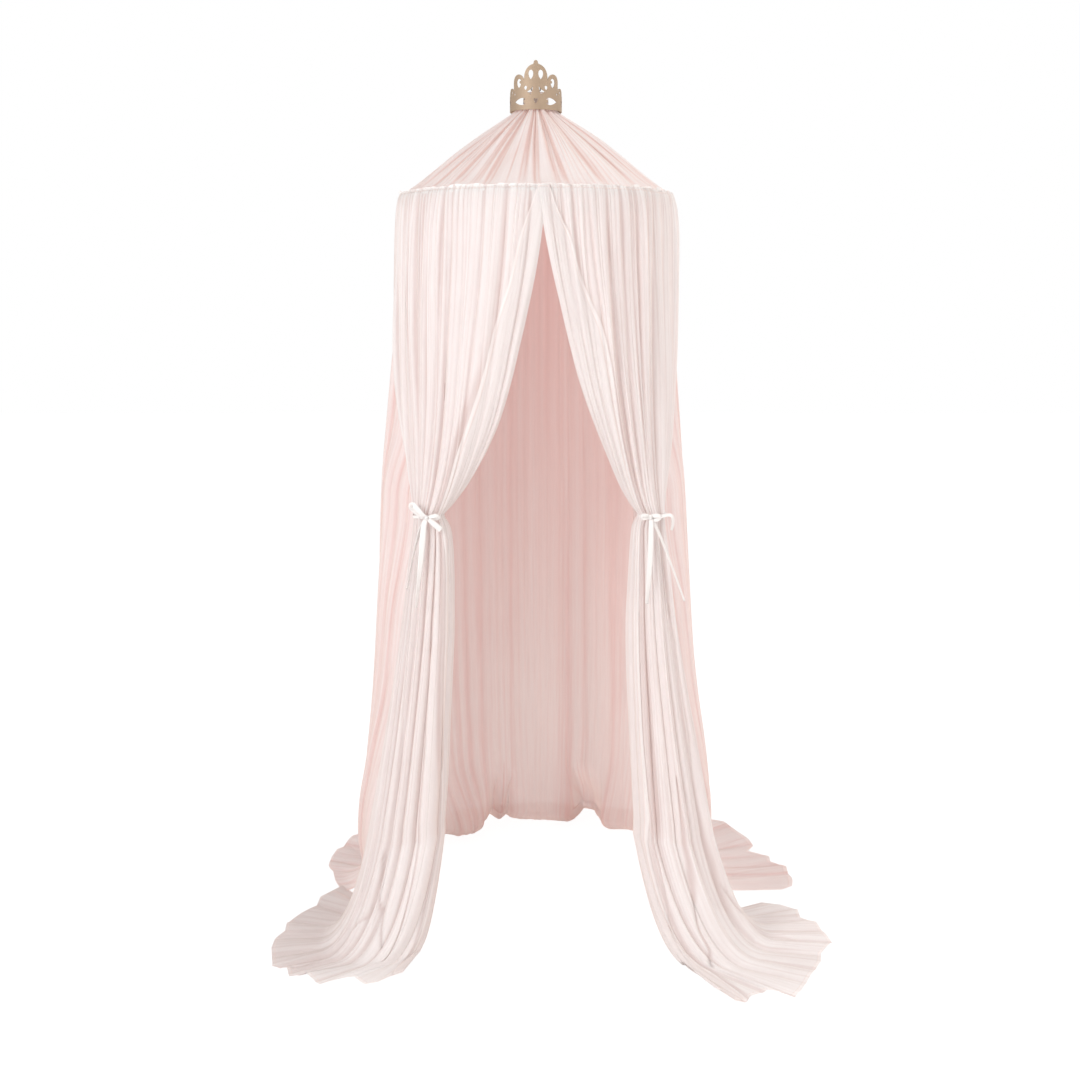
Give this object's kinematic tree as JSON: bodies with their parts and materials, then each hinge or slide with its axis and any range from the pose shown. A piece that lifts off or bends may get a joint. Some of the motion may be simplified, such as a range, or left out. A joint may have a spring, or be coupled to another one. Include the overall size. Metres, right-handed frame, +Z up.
{
  "type": "bed crown canopy",
  "caption": "Hanging bed canopy: a gathered net cone under a pierced metal crown, over a hooped curtain tied back on each side with satin bows and trailing on the floor.",
  "frame": {"origin": "the point that the canopy hangs from: inner top of the D-ring, on the canopy's upright axis", "axes": "+Z up along the canopy's axis, -Y to the open front, +X to the right of somebody facing the front"},
  "size_m": [1.2514, 1.1255, 1.922],
  "materials": {
    "net": "fine blush net, matt, half see-through in one layer",
    "tape": "plain woven tape and net, matt",
    "satin": "off-white satin ribbon",
    "pale_gold": "satin champagne gold plate",
    "ring_steel": "bright nickel plate",
    "hoop_plastic": "plain off-white plastic rod"
  },
  "bodies": {
    "canopy": {"cone_top": "net", "left_curtain": "net", "right_curtain": "net", "back_curtain": "net", "hoop_casing": "tape", "hoop_section_1": "hoop_plastic", "hoop_section_2": "hoop_plastic", "hoop_section_3": "hoop_plastic", "hoop_sleeve_1": "hoop_plastic", "hoop_sleeve_2": "hoop_plastic", "hoop_sleeve_3": "hoop_plastic", "neck_binding": "tape", "webbing_loop": "tape", "left_tie": "satin", "right_tie": "satin"},
    "crown": {"crown": "pale_gold", "crown_rivet_1": "pale_gold", "crown_rivet_2": "pale_gold"},
    "hang_ring": {"hang_ring": "ring_steel"}
  },
  "joints": [
    {"name": "crown_lift", "type": "slide", "parent": "canopy", "child": "crown", "axis": [0, 0, 1], "range_m": [0, 0.14]},
    {"name": "hang_ring_swing", "type": "hinge", "parent": "canopy", "child": "hang_ring", "pos_m": [0, 0, -0.0165], "axis": [1, 0, 0], "range_deg": [-85, 85]}
  ]
}
